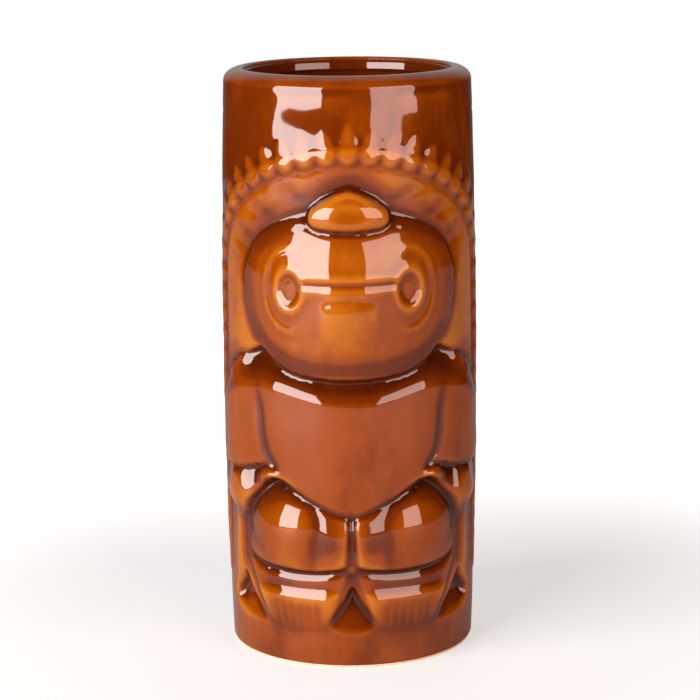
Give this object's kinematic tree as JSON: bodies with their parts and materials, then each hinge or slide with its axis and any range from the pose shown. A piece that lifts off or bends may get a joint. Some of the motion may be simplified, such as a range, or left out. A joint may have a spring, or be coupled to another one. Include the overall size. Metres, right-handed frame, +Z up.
{
  "type": "tiki mug",
  "caption": "Tall barrel-sided glazed ceramic tiki mug with a squatting figure in relief under a beaded, leaf-fringed arch.",
  "frame": {"origin": "middle of the flat face of the unglazed foot ring, on the mug's axis", "axes": "+Z up along the mug's axis; the figure faces -Y; left and right nodes are on the viewer's left (-X) and right (+X)"},
  "size_m": [0.0774, 0.0795, 0.174],
  "materials": {
    "glazed_clay": "glossy translucent honey-brown glaze, darker where it pools",
    "glaze_relief": "the same glaze, thinner and lighter over raised forms",
    "inner_glaze": "the same glaze, dark inside"
  },
  "bodies": {
    "root": {"cast_shell": "glazed_clay", "inner_glaze": "inner_glaze", "bead_border": "glaze_relief", "leaf_fringe": "glaze_relief", "hood": "glaze_relief", "head": "glaze_relief", "forehead_ornament": "glaze_relief", "left_eye_ring": "glaze_relief", "right_eye_ring": "glaze_relief", "face_bar": "glaze_relief", "torso": "glaze_relief", "left_arm": "glaze_relief", "right_arm": "glaze_relief", "left_hand": "glaze_relief", "right_hand": "glaze_relief", "left_knee": "glaze_relief", "right_knee": "glaze_relief", "left_foot": "glaze_relief", "right_foot": "glaze_relief", "left_rail": "glaze_relief", "right_rail": "glaze_relief"}
  },
  "joints": []
}
